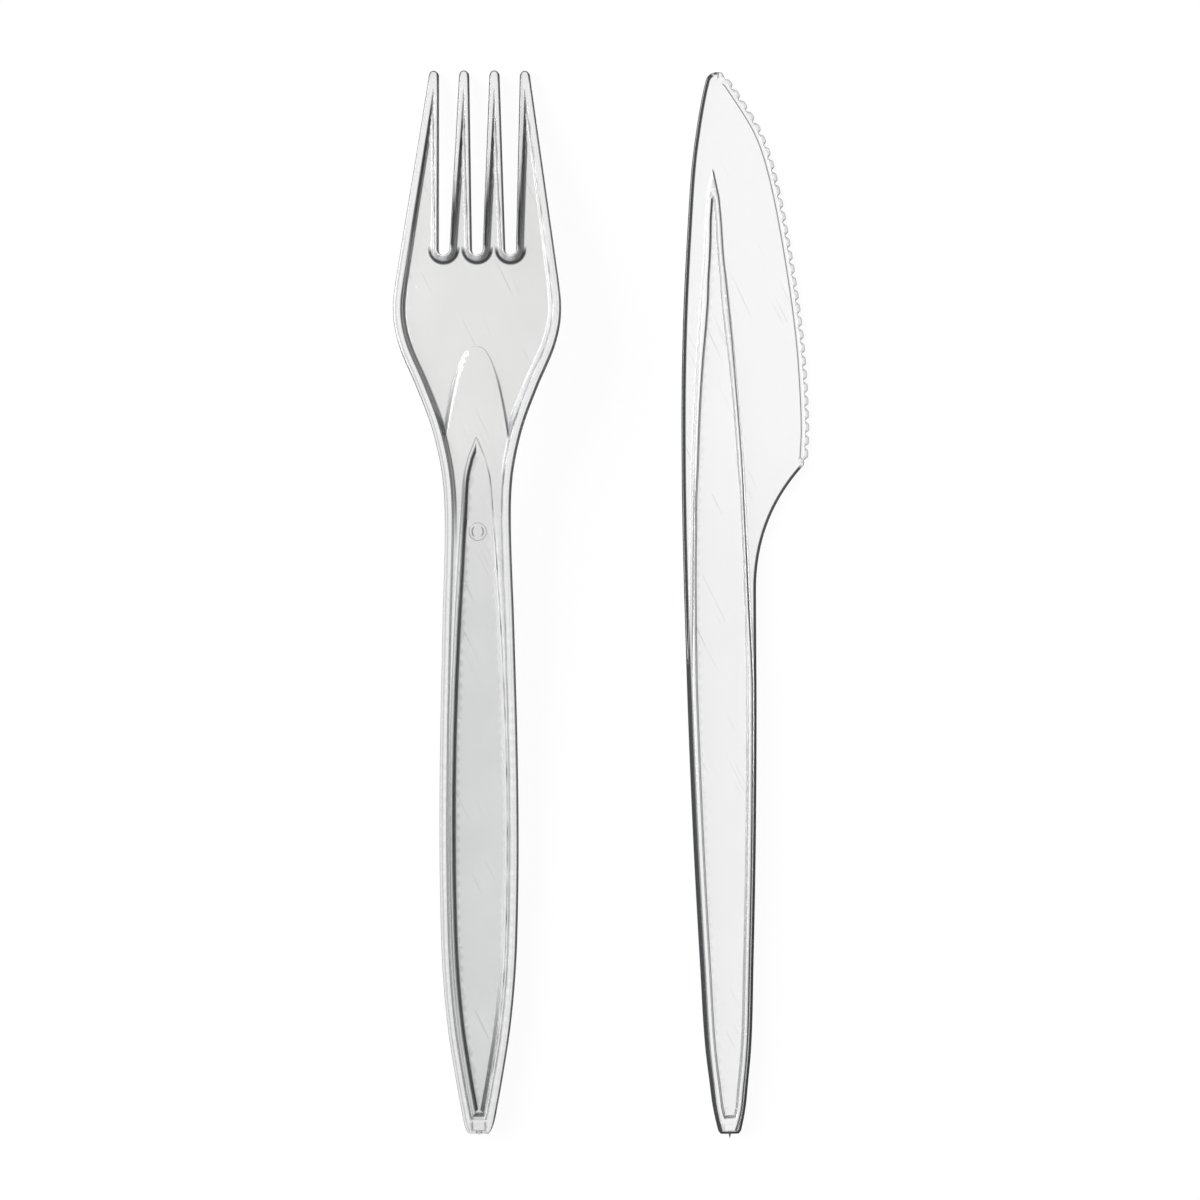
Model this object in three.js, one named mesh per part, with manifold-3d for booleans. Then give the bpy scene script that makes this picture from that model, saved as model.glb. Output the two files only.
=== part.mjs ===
// A moulded clear plastic fork and knife, side by side as a set. Millimetres, +Z up, +Y towards the tips.
// The fork lies on its eating face, so its ribbed back looks up. The knife lies on its flat side.
import {
  Box3,
  BoxGeometry,
  BufferAttribute,
  BufferGeometry,
  ConeGeometry,
  CubicInterpolant,
  CylinderGeometry,
  Group,
  MathUtils,
  Mesh,
  MeshStandardMaterial,
  QuadraticBezierCurve,
  ShapeUtils,
  SplineCurve,
  Vector2,
  Vector3,
  ZeroSlopeEnding,
} from 'three';
import { mergeVertices } from 'three/addons/utils/BufferGeometryUtils.js';
import Module from 'manifold-3d';

const wasm = await Module();
wasm.setup();

// Where the two pieces lie: how far apart, how far back the knife starts, and its lean in degrees.
const pieceSpacing = 42.4;
const knifeSetBack = 0.25;
const knifeLean = 1.02;

// Fork, lengths along its centre line.
const neckAt = 104;
const shoulderLength = 35.5;
const rootLength = 8;
const tineLength = 32.2;
const restLength = 30;

// Half widths of the handle at distances from its end, then of the shoulders at distances from the neck.
const handleSide = [[0, 1.6], [0.4, 2.05], [1.2, 2.4], [4.6, 3.12], [11.3, 4.3], [18, 5.3], [28, 6.2],
  [40, 6.58], [52, 6.66], [66, 6.5], [86, 6], [neckAt, 5.5]];
const shoulderSide = [[5, 5.68], [9, 6.2], [15, 7.65], [21.5, 10.1], [28, 12.85], [32, 13.8],
  [shoulderLength, 13.95], [39, 13.6]];

// Tines and the slots between them.
const tineCount = 4;
const tineSpacing = 5.14;
const tineTipRadius = 0.87;
const slotSpacing = 5.55;
const slotRadius = 0.88;

// Heights of the eating face above the table, from the end of the handle's flat rest, then from the neck.
const handleRise = [[0, 0], [20, 0.7], [46, 2.5]];
const headRise = [[0, 5.2], [12, 7.9], [28, 10]];
const rootRise = 7.9;
// The height at a share of the tines' length, and how far the face falls away at the sides of the head.
const tineBend = 0.65;
const tineRise = 2.9;
const headDip = 1.2;

// Heights of the rim above the eating face.
const endRim = 3.4;
const handleRim = 4;
const neckRim = 4.4;
const headRim = 3;
const rootRim = 2.6;
const tipRim = 1.7;

// Fork walls: web thickness, edge chamfer, and the recess with its slope as a share of its depth.
const forkWeb = 1.3;
const forkEdge = 0.3;
const outerDraft = 0.14;
const rimWidth = 1.35;
const slotRim = 0.55;
const recessStart = 2.4;
const recessSlope = 0.38;
const tineSolid = 3.4;

// The shelf inside the handle's rim, and the tongue that carries it on into the head.
const shelfDepth = 0.75;
const tongueLength = 28;
const tongueWidth = 10.4;
const tongueDepth = 15.2;
const tongueBend = 2.4;
const tongueSlope = 0.3;
const tongueRidge = 0.35;
const tongueFade = 0.1;

// The channel cut in the shelf: plan widths from the fork's side to its edge, at distances from the neck.
const channelBand = [[-90, 1.9], [-34, 1.9], [-14, 2.3], [0, 2.85], [6.5, 3.7], [10, 5.1]];
const channelTop = 13;
const channelStart = 3;
const channelSlope = 0.3;
const channelRamp = 12;

// Marks of the mould: an ejector pin's disc, a sunk pad near the end of each handle, and the torn stubs
// at the very end where the plastic came in.
const pinRadius = 1.5;
const pinHeight = 0.15;
const pinBehindNeck = 2.5;
const padWidth = 1.9;
const padLength = 1.3;
const padDepth = 0.3;
const padMargin = 0.7;
const stubHeight = 1.2;
const stubRoot = 0.5;
const forkStubRadius = 0.6;
const forkStubLength = 0.4;
const knifeStubRadius = 0.3;
const knifeStubLength = 0.8;

// Knife, half widths of its handle at distances from the end of the handle.
const knifeNeckAt = 91.7;
const knifeSide = [[0, 1.5], [0.4, 1.85], [1.4, 2.15], [4.7, 2.8], [8.2, 3.2], [14.7, 3.88], [28.4, 4.5],
  [48.7, 5.25], [68.7, 5.75], [knifeNeckAt, 6.08]];
// The blade's back from the neck to the point, as [sideways, forward of the neck].
const bladeBack = [[-6.15, 10], [-6.12, 21], [-5.87, 35], [-5.3, 48.4], [-4.38, 62], [-3.53, 72],
  [-2.5, 79], [-1.65, 83.5], [-1, 86.2], [-0.6, 87.2], [0.1, 87.8], [1, 88], [1.9, 87.95]];
// The cutting edge through the tips of its teeth, from the heel to the point.
const cuttingEdge = [[15.3, 22], [15.62, 29], [15.05, 42], [13.4, 56], [11.1, 69.4], [8.55, 77.8],
  [4.1, 85.4], [2.6, 87.3]];
const heelBend = [6.2, 13];
const toothCount = 30;
const toothDepth = 0.72;
const toothThickness = 0.5;
const bevelWidth = 1.4;
const plateThickness = 1.35;
const plateEdge = 0.3;

// Ribs on the knife, half widths at distances from the neck: their outer and inner edges.
const ribOuter = [[-1, 4.6], [5.6, 4.45], [10.7, 4.3], [15.8, 4.15], [21, 4], [26, 3.75], [32.7, 3.33],
  [39.5, 2.9], [44.5, 2.57], [49.6, 2.15], [53, 1.85], [56, 1.55], [63, 1.2], [67, 0.9]];
const ribInner = [[-1, 4.05], [5.8, 3.93], [10.8, 3.77], [15.9, 3.65], [21, 3.3], [26, 3.05], [32.8, 2.63],
  [39.5, 2.05], [44.6, 1.5], [49.6, 1.05], [53, 0.9], [55.5, 0.7], [59.5, 0.45], [63, 0.35]];
const ribPoint = 71.5;
const ribSlope = 0.3;
const flangeOuter = 0.85;
const flangeWidth = 0.9;
const ribChannelStart = 3.2;
const ribChannelTop = 67;
const ribChannelSlope = 0.14;

// Heights of the knife's ribs above the table.
const knifeEndRim = 3;
const knifeRim = 3.6;
const knifeNeckRim = 3.3;
const ribRise = 1.3;
const ribMiddle = 35;
const ribTipRise = 0.15;

// Fineness of the curves.
const sideStep = 4;
const faceStep = 5;
const arcSteps = 6;
const reach = 40;

const shoulderAt = neckAt + shoulderLength;
const slotRootAt = shoulderAt + rootLength;
const forkLength = slotRootAt + tineLength;
const shoulderHalf = Math.max(...shoulderSide.map(([, half]) => half));
const outerTineX = tineSpacing * (tineCount - 1) / 2;

// A smooth curve through [place, value] stations, starting level if asked.
function smoothCurve(stations, startsLevel = false) {
  const places = stations.map(([place]) => place);
  const values = stations.map(([, value]) => value);
  const curve = new CubicInterpolant(places, values, 1);
  if (startsLevel) {
    curve.settings = { ...curve.DefaultSettings_, endingStart: ZeroSlopeEnding };
  }
  return (place) => curve.evaluate(place)[0];
}

// Stations given from a start further along.
const from = (start, stations) => stations.map(([ahead, value]) => [start + ahead, value]);

// Even steps from one value to another, both included.
function steps(first, last, step) {
  const count = Math.round((last - first) / step);
  return Array.from({ length: count + 1 }, (_, index) => MathUtils.lerp(first, last, index / count));
}

// Places along a side: its own stations where the end is round, then even steps.
function sidePlaces(stations, last, step) {
  const roundEnd = step * 3;
  const near = stations.map(([place]) => place).filter((place) => place < roundEnd);
  return [...near, ...steps(roundEnd, last, step)];
}

// Points on an arc, both ends included, with its angles in turns.
function arc(x, y, radius, firstTurn, lastTurn) {
  return steps(firstTurn, lastTurn, (lastTurn - firstTurn) / arcSteps).map((turn) => (
    new Vector2(x + radius * Math.cos(2 * Math.PI * turn), y + radius * Math.sin(2 * Math.PI * turn))));
}

// An outline from its right half, bottom to top, and the mirror image of that half.
function mirrored(points) {
  const tiny = 1e-6;
  const right = points.filter((point) => point.x > -tiny);
  const left = right.filter((point) => point.x > tiny).map((point) => new Vector2(-point.x, point.y));
  return [...right, ...left.reverse()];
}

// Moves each corner of a closed counterclockwise outline inward, keeping its edges parallel.
function inset(outline, distance) {
  return outline.map((point, index) => {
    const before = outline.at(index - 1);
    const after = outline[(index + 1) % outline.length];
    const into = new Vector2(before.y - point.y, point.x - before.x).normalize();
    const out = new Vector2(point.y - after.y, after.x - point.x).normalize();
    const middle = into.clone().add(out).normalize();
    return point.clone().addScaledVector(middle, distance / middle.dot(into));
  });
}

// Moves an open run of points to its left.
function shifted(points, distance) {
  return points.map((point, index) => {
    const before = points[Math.max(0, index - 1)];
    const after = points[Math.min(points.length - 1, index + 1)];
    const left = new Vector2(before.y - after.y, after.x - before.x).normalize();
    return point.clone().addScaledVector(left, distance);
  });
}

// Corners and triangles as a solid.
function solid(corners, triangles) {
  return new wasm.Manifold(new wasm.Mesh({
    numProp: 3,
    vertProperties: new Float32Array(corners.flat()),
    triVerts: new Uint32Array(triangles.flat()),
  }));
}

// A box or cylinder as a solid, moved to its place.
function solidFrom(geometry, place) {
  geometry.deleteAttribute('normal');
  geometry.deleteAttribute('uv');
  const { attributes, index } = mergeVertices(geometry.translate(place.x, place.y, place.z));
  return new wasm.Manifold(new wasm.Mesh({
    numProp: 3,
    vertProperties: attributes.position.array,
    triVerts: new Uint32Array(index.array),
  }));
}

// Triangles over one ring of a prism, facing up or down.
function cap(outline, first, facingUp) {
  return ShapeUtils.triangulateShape(outline, []).map(([a, b, c]) => {
    const turnsLeft = ShapeUtils.area([outline[a], outline[b], outline[c]]) > 0;
    return turnsLeft === facingUp ? [first + a, first + b, first + c] : [first + a, first + c, first + b];
  });
}

// A solid through a stack of outlines with the same number of points, each at its own height.
function prism(levels) {
  const count = levels[0].outline.length;
  const last = levels.length - 1;
  const corners = levels.flatMap(({ outline, height }) => (
    outline.map((point) => [point.x, point.y, height(point)])));
  const walls = levels.slice(1).flatMap((_level, below) => levels[below].outline.flatMap((_point, index) => {
    const low = below * count + index;
    const lowNext = below * count + (index + 1) % count;
    return [[low, lowNext, lowNext + count], [low, lowNext + count, low + count]];
  }));
  const bottom = cap(levels[0].outline, 0, false);
  const top = cap(levels[last].outline, last * count, true);
  return solid(corners, [...walls, ...bottom, ...top]);
}

// A prism whose ends run straight on, well past the piece.
function tallPrism(levels) {
  return prism([
    { outline: levels[0].outline, height: () => -reach },
    ...levels,
    { outline: levels.at(-1).outline, height: () => reach },
  ]);
}

// A tall prism that meets a surface at its outline and narrows downward by the slope, over a stretch.
function drafted(outline, surface, slope, below, above) {
  return tallPrism([
    { outline: inset(outline, slope * below), height: (point) => surface(point) - below },
    { outline: inset(outline, -slope * above), height: (point) => surface(point) + above },
  ]);
}

// A solid between two heights over a grid.
function slab(xs, ys, lower, upper) {
  const columns = xs.length;
  const layer = columns * ys.length;
  const grid = ys.flatMap((y) => xs.map((x) => ({ x, y })));
  const corners = [lower, upper].flatMap((height) => (
    grid.map((point) => [point.x, point.y, height(point)])));
  const triangles = [];
  const wall = (start, end) => triangles.push([start, end, layer + end], [start, layer + end, layer + start]);
  ys.slice(1).forEach((_y, row) => {
    xs.slice(1).forEach((_x, column) => {
      const near = row * columns + column;
      const far = near + columns;
      const [nearTop, farTop] = [near + layer, far + layer];
      triangles.push([near, far + 1, near + 1], [near, far, far + 1]);
      triangles.push([nearTop, nearTop + 1, farTop + 1], [nearTop, farTop + 1, farTop]);
    });
    wall((row + 1) * columns - 1, (row + 2) * columns - 1);
    wall((row + 1) * columns, row * columns);
  });
  xs.slice(1).forEach((_x, column) => {
    wall(column, column + 1);
    wall(layer - 1 - column, layer - 2 - column);
  });
  return solid(corners, triangles);
}

// Height of the fork's eating face above the table. The tips of the outer tines come down to the table.
const tipRise = headDip * (outerTineX / shoulderHalf) ** 2;
const lift = smoothCurve([...from(restLength, handleRise), ...from(neckAt, headRise), [slotRootAt, rootRise],
  [slotRootAt + tineLength * tineBend, tineRise], [forkLength, tipRise]], true);

function eatingFace({ x, y }) {
  const fall = headDip * MathUtils.smoothstep(y, neckAt, shoulderAt);
  return (y < restLength ? 0 : lift(y)) - fall * (x / shoulderHalf) ** 2;
}

// Heights above the eating face.
const rim = smoothCurve([[0, endRim], [restLength / 2, handleRim], [neckAt - channelRamp * 2, handleRim],
  [neckAt, neckRim], [shoulderAt, headRim], [slotRootAt, rootRim], [forkLength, tipRim]]);
const tongueHeight = smoothCurve([[neckAt, neckRim - shelfDepth],
  [neckAt + tongueLength / 2, (neckRim + forkWeb) / 2], [neckAt + tongueLength, forkWeb + tongueFade]], true);
const rampHeight = smoothCurve([[neckAt - channelRamp, forkWeb],
  [neckAt + channelTop, neckRim - shelfDepth]], true);
const onFace = (height) => (point) => eatingFace(point) + height(point);

const rimTop = onFace(({ y }) => rim(y));
const recessFloor = onFace(() => forkWeb);
const channelFloor = onFace(({ y }) => (y < neckAt - channelRamp ? forkWeb - forkEdge : rampHeight(y)));
const shelfTop = onFace(({ x, y }) => {
  const ridge = tongueRidge * MathUtils.smoothstep(y, neckAt, neckAt + tongueLength / 2);
  const level = y < neckAt ? rim(y) - shelfDepth : tongueHeight(y);
  return level + ridge * (MathUtils.smoothstep(-Math.abs(x), -tongueWidth / 2, 0) - 0.5);
});

// The stretch between two faces of the fork, over all of it.
function layer(lower, upper) {
  const half = shoulderHalf + rimWidth;
  const flat = steps(-faceStep, restLength, faceStep);
  const raised = steps(restLength, forkLength + faceStep, faceStep).slice(1);
  return slab(steps(-half, half, faceStep), [...flat, ...raised], lower, upper);
}

const forkSide = smoothCurve([...handleSide, ...from(neckAt, shoulderSide)]);
const rightSide = sidePlaces(handleSide, neckAt + shoulderSide.at(-1)[0], sideStep).map((place) => (
  new Vector2(forkSide(place), place)));

// Up each tine and down into the slot beside it, from the outer tine to the centre line.
function tineEdges(tip, slotWider) {
  const points = [];
  for (let tine = (tineCount - 1) / 2; tine > -0.5; tine -= 1) {
    const slotX = (tine - 0.5) * slotSpacing;
    points.push(...tip(tine * tineSpacing));
    points.push(...arc(slotX, slotRootAt + slotRadius, slotRadius + slotWider, 0, -0.5));
  }
  return points;
}

function forkOutline() {
  const roundTip = (x) => arc(x, forkLength - tineTipRadius, tineTipRadius, 0, 0.5);
  return mirrored([...rightSide, ...tineEdges(roundTip, 0)]);
}

// Inner edge of the rim, which closes in a point near the tip of each tine.
function recessOutline() {
  const point = (x) => [new Vector2(x, forkLength - tineSolid)];
  const end = new Vector2(forkSide(recessStart) - rimWidth, recessStart);
  const side = shifted(rightSide, rimWidth).filter(({ y }) => y > recessStart + rimWidth);
  return mirrored([end, ...side, ...tineEdges(point, slotRim)]);
}

// An arch towards the head, on straight sides that run under the rim.
function tongueOutline() {
  const arch = steps(1, 0.1, -0.15).map((share) => new Vector2(
    share * tongueWidth / 2, neckAt + tongueLength - tongueDepth * share ** tongueBend));
  return mirrored([new Vector2(shoulderHalf, -faceStep), new Vector2(shoulderHalf, neckAt), ...arch]);
}

function channelOutline() {
  const band = smoothCurve(from(neckAt, channelBand));
  const places = [channelStart, ...steps(sideStep * 2, neckAt + channelBand.at(-1)[0], sideStep)];
  const side = places.map((place) => new Vector2(forkSide(place) - band(place), place));
  return mirrored([...side, new Vector2(0, neckAt + channelTop)]);
}

function forkBody() {
  const outline = forkOutline();
  const walls = tallPrism([
    { outline: inset(outline, forkEdge), height: eatingFace },
    { outline, height: onFace(() => forkEdge) },
    { outline: inset(outline, outerDraft), height: onFace(({ y }) => rim(y) - forkEdge) },
    { outline: inset(outline, outerDraft + forkEdge), height: rimTop },
  ]);
  return walls.intersect(layer(eatingFace, rimTop));
}

// All that is open inside the rim: the head's recess, the shelf and the channel.
function hollow() {
  const above = () => reach;
  const below = () => -reach;
  const recess = drafted(recessOutline(), rimTop, recessSlope, neckRim - forkWeb + forkEdge, forkEdge)
    .intersect(layer(recessFloor, above));
  const shelf = drafted(tongueOutline(), shelfTop, -tongueSlope, forkWeb, forkEdge)
    .intersect(layer(below, shelfTop));
  const channel = drafted(channelOutline(), shelfTop, channelSlope, handleRim - shelfDepth, forkEdge)
    .intersect(layer(channelFloor, above));
  return recess.subtract(shelf.subtract(channel));
}

// The round mark of an ejector pin, standing a little above a floor.
function pinMark(place, floor) {
  const disc = new CylinderGeometry(pinRadius, pinRadius, pinHeight * 4, arcSteps * 3).rotateX(Math.PI / 2);
  return solidFrom(disc, new Vector3(0, place, floor - pinHeight));
}

// The sunk pad near the end of a handle.
function endPad(rimHeight) {
  const block = new BoxGeometry(padWidth, padLength, padDepth * 2);
  return solidFrom(block, new Vector3(0, padMargin + padLength / 2, rimHeight));
}

// A pointed stub that stands out behind the end of a handle, rooted inside it.
function endStub(radius, length) {
  const cone = new ConeGeometry(radius, length + stubRoot, arcSteps * 2).rotateX(Math.PI);
  return solidFrom(cone, new Vector3(0, (stubRoot - length) / 2, stubHeight));
}

function fork() {
  const pinAt = neckAt - pinBehindNeck;
  return forkBody()
    .subtract(hollow())
    .add(pinMark(pinAt, channelFloor({ x: 0, y: pinAt })))
    .add(endStub(forkStubRadius, forkStubLength))
    .subtract(endPad(endRim));
}

const knifeHandle = smoothCurve(knifeSide);
const knifePlaces = sidePlaces(knifeSide, knifeNeckAt, sideStep);
const aheadOfNeck = ([x, y]) => new Vector2(x, knifeNeckAt + y);

// Outline of the knife, with the tips and valleys of its teeth set back from the cutting edge.
function knifeOutline(tipBack, valleyBack) {
  const edge = new SplineCurve(cuttingEdge.map(aheadOfNeck));
  const neck = new Vector2(knifeHandle(knifeNeckAt), knifeNeckAt);
  const heel = new QuadraticBezierCurve(neck, aheadOfNeck(heelBend), aheadOfNeck(cuttingEdge[0]));
  const tooth = [[0, valleyBack], [0.3, tipBack], [0.7, tipBack]];
  const teeth = steps(0, toothCount - 1, 1).flatMap((number) => tooth.map(([share, setBack]) => {
    const along = (number + share) / toothCount;
    const ahead = edge.getTangentAt(along);
    return edge.getPointAt(along).addScaledVector(new Vector2(-ahead.y, ahead.x), setBack);
  }));
  const right = knifePlaces.map((place) => new Vector2(knifeHandle(place), place));
  const left = right.map(({ x, y }) => new Vector2(-x, y));
  const back = bladeBack.map(aheadOfNeck);
  return [...right, ...heel.getPoints(arcSteps).slice(1, -1), ...teeth, ...back.reverse(), ...left.reverse()];
}

// The flat plate of the knife, bevelled along its teeth.
function knifePlate() {
  const outline = knifeOutline(0, toothDepth);
  const shoulder = plateThickness - plateEdge;
  const bevelled = (shoulder - toothThickness) / (plateThickness - toothThickness);
  const bevelBack = bevelWidth - plateEdge;
  return prism([
    { outline: inset(outline, plateEdge / 2), height: () => 0 },
    { outline, height: () => plateEdge / 2 },
    { outline, height: () => toothThickness },
    {
      outline: knifeOutline(bevelWidth * bevelled, MathUtils.lerp(toothDepth, bevelWidth, bevelled)),
      height: () => shoulder,
    },
    { outline: inset(knifeOutline(bevelBack, bevelBack), plateEdge), height: () => plateThickness },
  ]);
}

// The two ribs, which start at a point on the blade and become the flanges of the handle.
function knifeRibs() {
  const blendAt = knifeNeckAt - 3 * sideStep;
  const handle = knifePlaces.filter((place) => place < blendAt);
  const edge = (setBack, stations) => smoothCurve([
    ...handle.map((place) => [place, knifeHandle(place) - setBack]), ...from(knifeNeckAt, stations)]);
  const outline = (setBack, start, stations, point) => {
    const places = [start, ...handle.filter((place) => place > start),
      ...steps(blendAt, knifeNeckAt + stations.at(-1)[0], sideStep)];
    const side = places.map((place) => new Vector2(edge(setBack, stations)(place), place));
    return mirrored([...side, new Vector2(0, knifeNeckAt + point)]);
  };
  const height = smoothCurve([[0, knifeEndRim], [4 * sideStep, knifeRim], [knifeNeckAt / 2, knifeRim],
    [knifeNeckAt, knifeNeckRim], [knifeNeckAt + ribMiddle, plateThickness + ribRise],
    [knifeNeckAt + ribPoint, plateThickness + ribTipRise]]);
  const top = ({ y }) => height(y);
  const ribs = outline(flangeOuter, flangeOuter, ribOuter, ribPoint);
  const channel = outline(flangeOuter + flangeWidth, ribChannelStart, ribInner, ribChannelTop);
  const widest = Math.max(...knifeSide.map(([, half]) => half));
  const length = steps(-faceStep, knifeNeckAt + ribPoint + faceStep, faceStep);
  return drafted(ribs, top, -ribSlope, knifeRim - plateThickness, plateEdge)
    .intersect(slab([-widest, widest], length, () => plateThickness / 2, top))
    .subtract(drafted(channel, () => plateThickness, ribChannelSlope, plateEdge, knifeRim));
}

function knife() {
  return knifePlate()
    .add(knifeRibs())
    .add(endStub(knifeStubRadius, knifeStubLength))
    .subtract(endPad(knifeEndRim));
}

// Clear plastic, a little greyer where the piece is thicker.
function clearPlastic(color) {
  return new MeshStandardMaterial({ color, roughness: 0.08, metalness: 0, transparent: true, opacity: 0.45 });
}

function piece(name, shape, color) {
  const { vertProperties, triVerts } = shape.getMesh();
  const geometry = new BufferGeometry();
  geometry.setAttribute('position', new BufferAttribute(vertProperties, 3));
  geometry.setIndex(new BufferAttribute(triVerts, 1));
  geometry.computeVertexNormals();
  const mesh = new Mesh(geometry, clearPlastic(color));
  mesh.name = name;
  return mesh;
}

const forkMesh = piece('fork', fork(), 0xd4d8d6);
const knifeMesh = piece('knife', knife(), 0xeef0f1);
knifeMesh.position.set(pieceSpacing, -knifeSetBack, 0);
knifeMesh.rotation.z = MathUtils.degToRad(knifeLean);

// The set stands on the table with the middle of its footprint at the origin.
const set = new Group();
set.add(forkMesh, knifeMesh);
const box = new Box3().setFromObject(set, true);
const middle = box.getCenter(new Vector3());
set.position.set(-middle.x, -middle.y, -box.min.z);

const group = new Group();
group.add(set);

export default group;
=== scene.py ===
"""Looks of a clear moulded plastic fork and knife that lie side by side, seen from straight above.

Sizes are millimetres until a mesh is made. Each piece has its own frame, with y = 0 at the end of its
handle, x = 0 on its centre line and z = 0 on the table.
"""

import math

import bpy
import numpy as np
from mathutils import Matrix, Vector
from mathutils.geometry import delaunay_2d_cdt

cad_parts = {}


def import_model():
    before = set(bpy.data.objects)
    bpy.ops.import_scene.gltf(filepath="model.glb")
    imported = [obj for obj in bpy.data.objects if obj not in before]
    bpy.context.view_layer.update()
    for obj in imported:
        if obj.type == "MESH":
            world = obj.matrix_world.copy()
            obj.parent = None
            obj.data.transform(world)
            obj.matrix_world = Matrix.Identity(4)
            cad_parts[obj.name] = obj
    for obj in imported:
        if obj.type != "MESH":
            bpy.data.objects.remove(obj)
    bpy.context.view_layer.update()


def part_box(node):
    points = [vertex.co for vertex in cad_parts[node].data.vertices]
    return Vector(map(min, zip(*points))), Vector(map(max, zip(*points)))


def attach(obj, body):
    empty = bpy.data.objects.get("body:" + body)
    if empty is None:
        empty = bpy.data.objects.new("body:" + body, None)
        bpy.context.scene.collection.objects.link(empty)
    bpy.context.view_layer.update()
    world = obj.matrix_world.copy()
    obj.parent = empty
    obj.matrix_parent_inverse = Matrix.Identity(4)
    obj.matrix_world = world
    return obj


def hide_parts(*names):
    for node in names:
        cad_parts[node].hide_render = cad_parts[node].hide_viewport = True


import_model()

MM = 0.001

# Where the knife lies beside the fork, and its lean in degrees.
PIECE_SPACING = 42.4
KNIFE_SET_BACK = 0.25
KNIFE_LEAN = 1.02

# Fork, lengths along its centre line.
NECK_AT = 104
SHOULDER_LENGTH = 35.5
ROOT_LENGTH = 8
TINE_LENGTH = 32.2
REST_LENGTH = 30
SHOULDER_AT = NECK_AT + SHOULDER_LENGTH
SLOT_ROOT_AT = SHOULDER_AT + ROOT_LENGTH
FORK_LENGTH = SLOT_ROOT_AT + TINE_LENGTH

# Half widths of the handle from its end, then of the shoulders from the neck.
HANDLE_SIDE = [(0, 1.6), (0.4, 2.05), (1.2, 2.4), (4.6, 3.12), (11.3, 4.3), (18, 5.3), (28, 6.2),
               (40, 6.58), (52, 6.66), (66, 6.5), (86, 6), (NECK_AT, 5.5)]
SHOULDER_SIDE = [(5, 5.68), (9, 6.2), (15, 7.65), (21.5, 10.1), (28, 12.85), (32, 13.8),
                 (SHOULDER_LENGTH, 13.95), (39, 13.6)]
SHOULDER_HALF = max(half for _, half in SHOULDER_SIDE)
HEAD_SIDE_END = NECK_AT + SHOULDER_SIDE[-1][0]

# Tines and the slots between them.
TINE_COUNT = 4
TINE_SPACING = 5.14
TINE_TIP_RADIUS = 0.87
SLOT_SPACING = 5.55
SLOT_RADIUS = 0.88
OUTER_TINE_X = TINE_SPACING * (TINE_COUNT - 1) / 2

# Heights of the eating face above the table, from the end of the handle's flat rest, then from the neck.
HANDLE_RISE = [(0, 0), (20, 0.7), (46, 2.5)]
HEAD_RISE = [(0, 5.2), (12, 7.9), (28, 10)]
ROOT_RISE = 7.9
# The height at a share of the tines' length, and how far the face falls away at the sides of the head.
TINE_BEND = 0.65
TINE_RISE = 2.9
HEAD_DIP = 1.2
TIP_RISE = HEAD_DIP * (OUTER_TINE_X / SHOULDER_HALF) ** 2

# The rim above the eating face, the web under the recess, and the recess itself.
END_RIM = 3.4
HANDLE_RIM = 4
NECK_RIM = 4.4
HEAD_RIM = 3
ROOT_RIM = 2.6
TIP_RIM = 1.7
FORK_WEB = 1.3
FORK_EDGE = 0.3
OUTER_DRAFT = 0.14
RIM_WIDTH = 1.35
SLOT_RIM = 0.55
RECESS_START = 2.4
RECESS_SLOPE = 0.38
TINE_SOLID = 3.4

# The shelf inside the rim, its tongue in the head, and the channel along it.
SHELF_DEPTH = 0.75
TONGUE_LENGTH = 28
TONGUE_WIDTH = 10.4
TONGUE_DEPTH = 15.2
TONGUE_BEND = 2.4
TONGUE_SLOPE = 0.3
TONGUE_RIDGE = 0.35
TONGUE_FADE = 0.1
TONGUE_FOOT = [(0, -5), (SHOULDER_HALF, -5), (SHOULDER_HALF, NECK_AT)]
CHANNEL_BAND = [(-90, 1.9), (-34, 1.9), (-14, 2.3), (0, 2.85), (6.5, 3.7), (10, 5.1)]
CHANNEL_TOP = 13
CHANNEL_START = 3
CHANNEL_SLOPE = 0.3
CHANNEL_RAMP = 12
# How far before and after the start of its ramp the channel's floor eases up.
RAMP_EASE = (3, 6)

# Marks of the mould on both pieces.
PIN_RADIUS = 1.5
PIN_HEIGHT = 0.15
PIN_BEHIND_NECK = 2.5
PAD_WIDTH = 1.9
PAD_LENGTH = 1.3
PAD_DEPTH = 0.3
PAD_MARGIN = 0.7
STUB_HEIGHT = 1.2
STUB_ROOT = 0.5
FORK_STUB = (0.6, 0.4)
KNIFE_STUB = (0.3, 0.8)

# Knife: its handle, its blade ahead of the neck, and its teeth.
KNIFE_NECK_AT = 91.7
KNIFE_SIDE = [(0, 1.5), (0.4, 1.85), (1.4, 2.15), (4.7, 2.8), (8.2, 3.2), (14.7, 3.88), (28.4, 4.5),
              (48.7, 5.25), (68.7, 5.75), (KNIFE_NECK_AT, 6.08)]
BLADE_BACK = [(-6.15, 10), (-6.12, 21), (-5.87, 35), (-5.3, 48.4), (-4.38, 62), (-3.53, 72), (-2.5, 79),
              (-1.65, 83.5), (-1, 86.2), (-0.6, 87.2), (0.1, 87.8), (1, 88), (1.9, 87.95)]
CUTTING_EDGE = [(15.3, 22), (15.62, 29), (15.05, 42), (13.4, 56), (11.1, 69.4), (8.55, 77.8), (4.1, 85.4),
                (2.6, 87.3)]
HEEL_BEND = (6.2, 13)
TOOTH_COUNT = 30
TOOTH_STEPS = 8
TOOTH_DEPTH = 0.72
TOOTH_THICKNESS = 0.5
BEVEL_WIDTH = 1.4
PLATE_THICKNESS = 1.35
PLATE_EDGE = 0.3

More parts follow.
